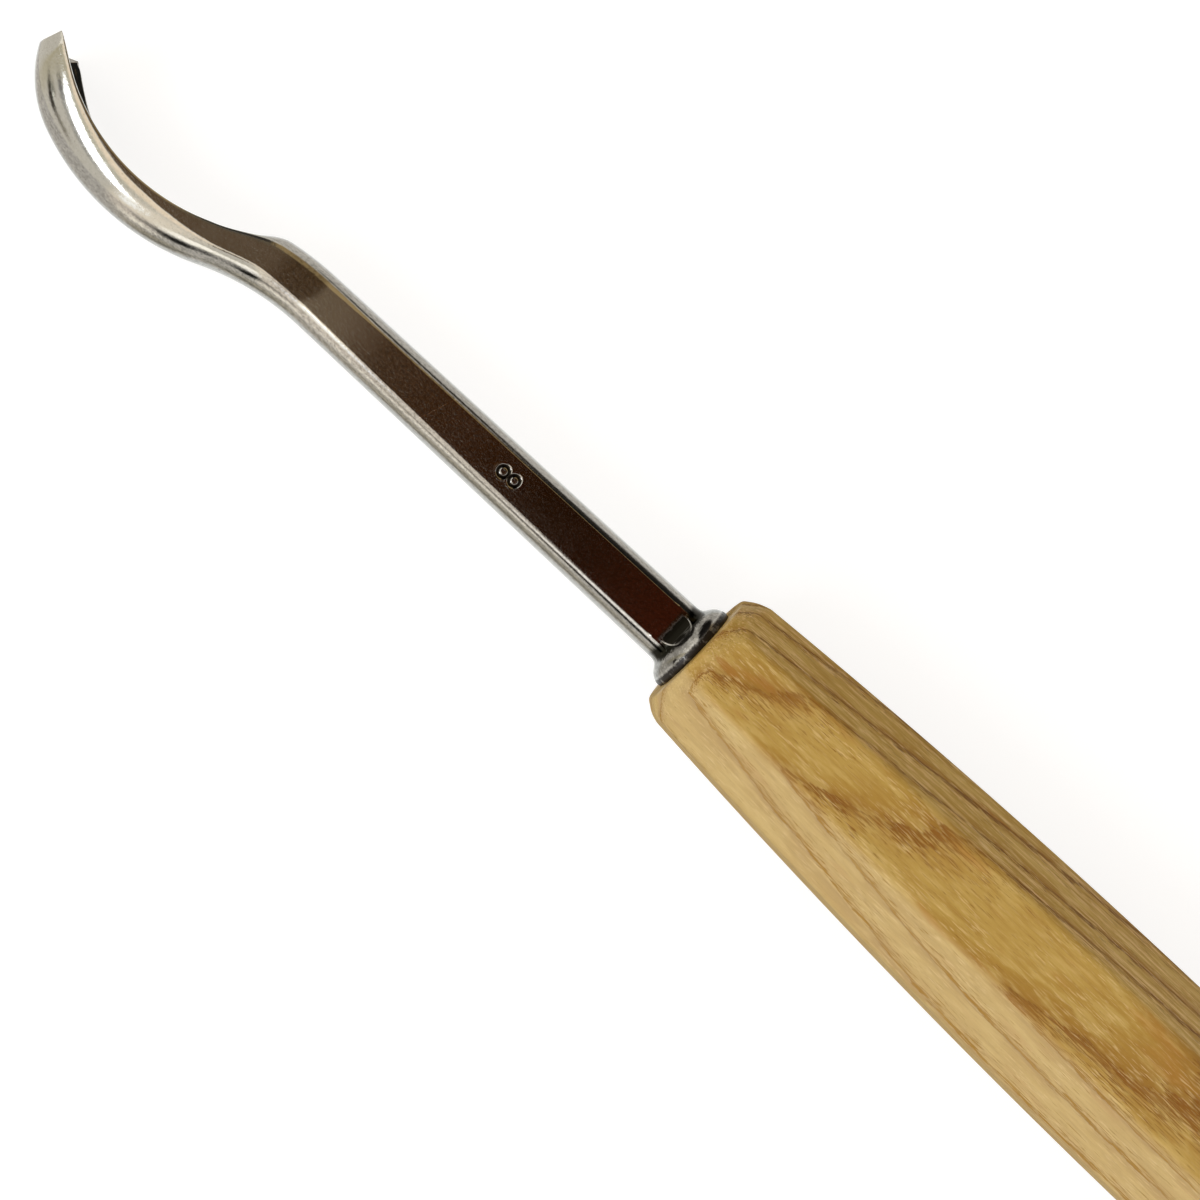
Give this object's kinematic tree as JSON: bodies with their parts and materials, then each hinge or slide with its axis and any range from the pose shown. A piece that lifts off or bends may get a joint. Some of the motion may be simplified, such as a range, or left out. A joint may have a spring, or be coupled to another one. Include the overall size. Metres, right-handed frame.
{
  "type": "bent gouge",
  "caption": "Carving gouge whose cranked shank ends in a hollow spoon with a curved cutting edge, its tang driven into a swelled octagonal wooden handle.",
  "frame": {"origin": "middle of the flat face at the butt of the handle", "axes": "X runs along the handle's middle line, with +X out of the butt and the cutting edge towards -X; +Y is the side the hollow of the spoon opens towards; +Z is the flat side of the shank that lies uppermost in the picture"},
  "size_m": [0.2533, 0.028, 0.028],
  "materials": {
    "steel": "polished, with fine grinding marks",
    "ash": "oiled ash, satin"
  },
  "bodies": {
    "root": {"blade": "steel", "handle": "ash"}
  },
  "joints": []
}
